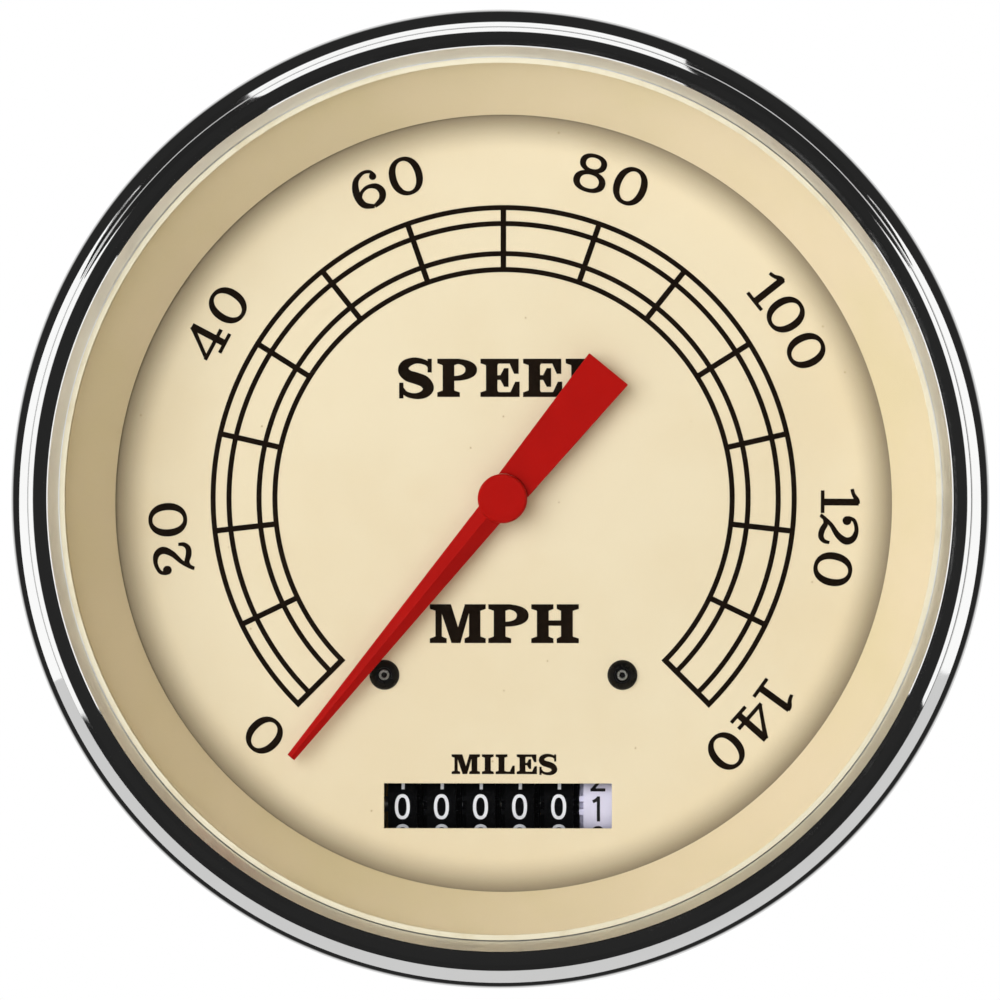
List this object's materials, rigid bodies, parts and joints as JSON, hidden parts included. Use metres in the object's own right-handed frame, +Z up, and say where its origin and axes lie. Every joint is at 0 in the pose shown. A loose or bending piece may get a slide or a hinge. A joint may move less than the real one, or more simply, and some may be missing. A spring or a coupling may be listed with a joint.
{
  "type": "vintage speedometer",
  "caption": "Round dashboard speedometer with chrome bezel, cream dial, red pointer and odometer, driven by a cable through a magnet and speed cup.",
  "frame": {"origin": "on the gauge's axis, in the plane of the bezel's rear face, which seats on the panel", "axes": "+Y along the gauge's axis from the dial to the cable neck, +Z up as the dial is read, +X to the reader's right"},
  "size_m": [0.126, 0.0927, 0.126],
  "materials": {
    "chrome": "polished chrome plate on rolled brass sheet",
    "gasket": "aged cream rubber",
    "glass": "clear flat glass",
    "visor_paint": "satin beige enamel",
    "dial_enamel": "aged cream enamel with printed scale",
    "black_oxide": "black oxide",
    "pointer_red": "glossy red enamel on aluminium",
    "steel": "ground steel",
    "brass": "machined brass",
    "bronze": "sintered bronze",
    "aluminium": "spun aluminium",
    "magnet_alloy": "cast magnet alloy",
    "die_cast": "die-cast alloy",
    "wheel_black": "moulded black with printed digits",
    "wheel_pale": "moulded pale with printed digits",
    "case_paint": "dark grey baked enamel",
    "zinc_plate": "zinc plate",
    "bulb_glass": "clear bulb glass"
  },
  "bodies": {
    "root": {"bezel": "chrome", "lens_gasket": "gasket", "glass_lens": "glass", "visor_ring": "visor_paint", "dial": "dial_enamel", "dial_screws": "black_oxide", "hairspring": "steel", "hairspring_stud": "brass", "stop_pins": "steel", "bridge_plate": "brass", "spindle_bush": "bronze", "dial_posts": "brass", "frame_pillars": "steel", "pillar_screws": "steel", "movement_base": "die_cast", "drive_bush": "bronze", "counter_bracket": "steel", "counter_screws": "steel", "idler_stub": "steel", "odometer_frame": "brass", "odometer_screws": "steel", "pinion_axle": "steel", "case": "case_paint", "movement_screws": "zinc_plate", "lamp_sockets": "zinc_plate", "lamp_bulbs": "bulb_glass", "mounting_studs": "zinc_plate"},
    "clamp": {"clamp_bracket": "zinc_plate", "lock_washers": "zinc_plate", "thumb_nuts": "zinc_plate"},
    "pointer": {"pointer_needle": "pointer_red", "pointer_tail": "pointer_red", "pointer_boss": "pointer_red", "pointer_spindle": "steel", "stop_arm": "brass", "speed_cup": "aluminium", "hairspring_collet": "brass"},
    "drive": {"drive_shaft": "steel", "magnet": "magnet_alloy", "field_cup": "steel", "drive_worm": "brass", "thrust_collar": "steel"},
    "counter": {"counter_shaft": "steel", "worm_wheel": "brass", "counter_worm": "brass"},
    "idler": {"idler_gear": "brass"},
    "tenths_wheel": {"number_wheel_1": "wheel_pale", "odometer_gear": "brass", "odometer_axle": "steel"},
    "units_wheel": {"number_wheel_2": "wheel_black"},
    "tens_wheel": {"number_wheel_3": "wheel_black"},
    "hundreds_wheel": {"number_wheel_4": "wheel_black"},
    "thousands_wheel": {"number_wheel_5": "wheel_black"},
    "ten_thousands_wheel": {"number_wheel_6": "wheel_black"},
    "pinion_1": {"transfer_pinion_1": "brass"},
    "pinion_2": {"transfer_pinion_2": "brass"},
    "pinion_3": {"transfer_pinion_3": "brass"},
    "pinion_4": {"transfer_pinion_4": "brass"},
    "pinion_5": {"transfer_pinion_5": "brass"}
  },
  "joints": [
    {"name": "clamp_slide", "type": "slide", "parent": "root", "child": "clamp", "axis": [0, 1, 0], "range_m": [-0.006, 0.006]},
    {"name": "pointer_sweep", "type": "hinge", "parent": "root", "child": "pointer", "pos_m": [0, 0, 0], "axis": [0, 1, 0], "range_deg": [0, 281.4], "stiffness_Nm_per_rad": 0.00002, "springref_deg": -45.84, "deforming": ["hairspring"]},
    {"name": "drive_spin", "type": "hinge", "parent": "root", "child": "drive", "pos_m": [0, 0, 0], "axis": [0, 1, 0], "continuous": true},
    {"name": "counter_spin", "type": "hinge", "parent": "root", "child": "counter", "pos_m": [0.017, 0.0382, 0], "axis": [0, 0, 1], "continuous": true},
    {"name": "idler_spin", "type": "hinge", "parent": "root", "child": "idler", "pos_m": [0.017, 0.0277, -0.0399], "axis": [1, 0, 0], "continuous": true},
    {"name": "tenths_wheel_spin", "type": "hinge", "parent": "root", "child": "tenths_wheel", "pos_m": [0, 0.0142, -0.0399], "axis": [1, 0, 0], "continuous": true},
    {"name": "units_wheel_spin", "type": "hinge", "parent": "root", "child": "units_wheel", "pos_m": [0, 0.0142, -0.0399], "axis": [1, 0, 0], "continuous": true},
    {"name": "tens_wheel_spin", "type": "hinge", "parent": "root", "child": "tens_wheel", "pos_m": [0, 0.0142, -0.0399], "axis": [1, 0, 0], "continuous": true},
    {"name": "hundreds_wheel_spin", "type": "hinge", "parent": "root", "child": "hundreds_wheel", "pos_m": [0, 0.0142, -0.0399], "axis": [1, 0, 0], "continuous": true},
    {"name": "thousands_wheel_spin", "type": "hinge", "parent": "root", "child": "thousands_wheel", "pos_m": [0, 0.0142, -0.0399], "axis": [1, 0, 0], "continuous": true},
    {"name": "ten_thousands_wheel_spin", "type": "hinge", "parent": "root", "child": "ten_thousands_wheel", "pos_m": [0, 0.0142, -0.0399], "axis": [1, 0, 0], "continuous": true},
    {"name": "pinion_1_spin", "type": "hinge", "parent": "root", "child": "pinion_1", "pos_m": [0, 0.0212, -0.0399], "axis": [1, 0, 0], "continuous": true},
    {"name": "pinion_2_spin", "type": "hinge", "parent": "root", "child": "pinion_2", "pos_m": [0, 0.0212, -0.0399], "axis": [1, 0, 0], "continuous": true},
    {"name": "pinion_3_spin", "type": "hinge", "parent": "root", "child": "pinion_3", "pos_m": [0, 0.0212, -0.0399], "axis": [1, 0, 0], "continuous": true},
    {"name": "pinion_4_spin", "type": "hinge", "parent": "root", "child": "pinion_4", "pos_m": [0, 0.0212, -0.0399], "axis": [1, 0, 0], "continuous": true},
    {"name": "pinion_5_spin", "type": "hinge", "parent": "root", "child": "pinion_5", "pos_m": [0, 0.0212, -0.0399], "axis": [1, 0, 0], "continuous": true}
  ],
  "couplings": [
    {"joint": "counter_spin", "follows": "drive_spin", "ratio": 0.02},
    {"joint": "idler_spin", "follows": "drive_spin", "ratio": -0.0008},
    {"joint": "tenths_wheel_spin", "follows": "drive_spin", "ratio": 0.001},
    {"joint": "units_wheel_spin", "follows": "drive_spin", "ratio": 0.0001},
    {"joint": "tens_wheel_spin", "follows": "drive_spin", "ratio": 0.00001},
    {"joint": "hundreds_wheel_spin", "follows": "drive_spin", "ratio": 0.000001},
    {"joint": "thousands_wheel_spin", "follows": "drive_spin", "ratio": 0.0000001},
    {"joint": "ten_thousands_wheel_spin", "follows": "drive_spin", "ratio": 0.00000001},
    {"joint": "pinion_1_spin", "follows": "drive_spin", "ratio": -0.00025},
    {"joint": "pinion_2_spin", "follows": "drive_spin", "ratio": -0.000025},
    {"joint": "pinion_3_spin", "follows": "drive_spin", "ratio": -0.0000025},
    {"joint": "pinion_4_spin", "follows": "drive_spin", "ratio": -0.00000025},
    {"joint": "pinion_5_spin", "follows": "drive_spin", "ratio": -0.000000025}
  ]
}
